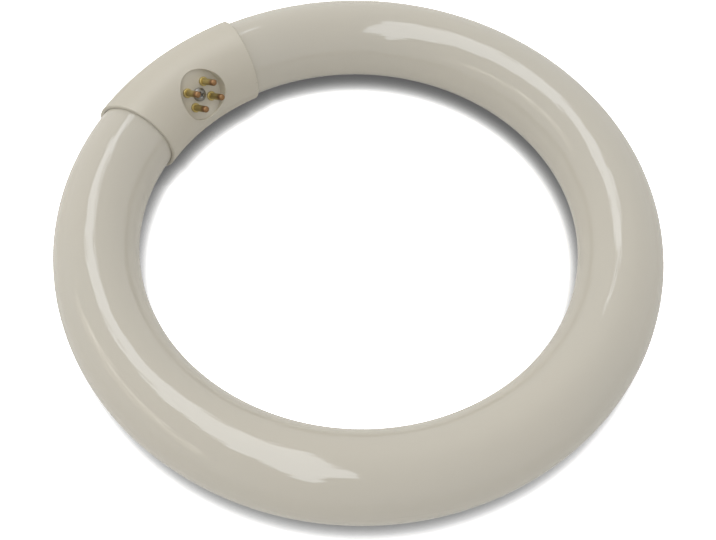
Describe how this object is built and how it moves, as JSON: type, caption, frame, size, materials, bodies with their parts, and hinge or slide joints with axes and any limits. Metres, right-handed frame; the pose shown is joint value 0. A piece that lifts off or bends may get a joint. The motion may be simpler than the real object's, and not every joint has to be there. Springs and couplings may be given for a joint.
{
  "type": "circular fluorescent tube",
  "caption": "Ring-shaped fluorescent lamp: a white-coated glass tube closed by a moulded cap that carries its contact pins in a round recess.",
  "frame": {"origin": "centre of the ring, level with the centreline of the tube", "axes": "+Z normal to the ring, on the side that the pins lean to; +Y from the centre of the ring to the middle of the cap; +X completes the frame, along the cap"},
  "size_m": [0.2096, 0.2109, 0.0312],
  "materials": {
    "coated_glass": "clear glass over an opaque white coat, glossy",
    "cap_plastic": "moulded, satin, cream white",
    "pin_brass": "drawn and turned, slightly dulled",
    "screw_steel": "plated",
    "wire_copper": "bare drawn copper"
  },
  "bodies": {
    "root": {"glass_tube": "coated_glass", "cap_front_shell": "cap_plastic", "cap_back_shell": "cap_plastic", "clamp_screw": "screw_steel", "contact_pin_1": "pin_brass", "contact_pin_2": "pin_brass", "contact_pin_3": "pin_brass", "contact_pin_4": "pin_brass", "lead_wire_1": "wire_copper", "lead_wire_2": "wire_copper", "lead_wire_3": "wire_copper", "lead_wire_4": "wire_copper"}
  },
  "joints": []
}
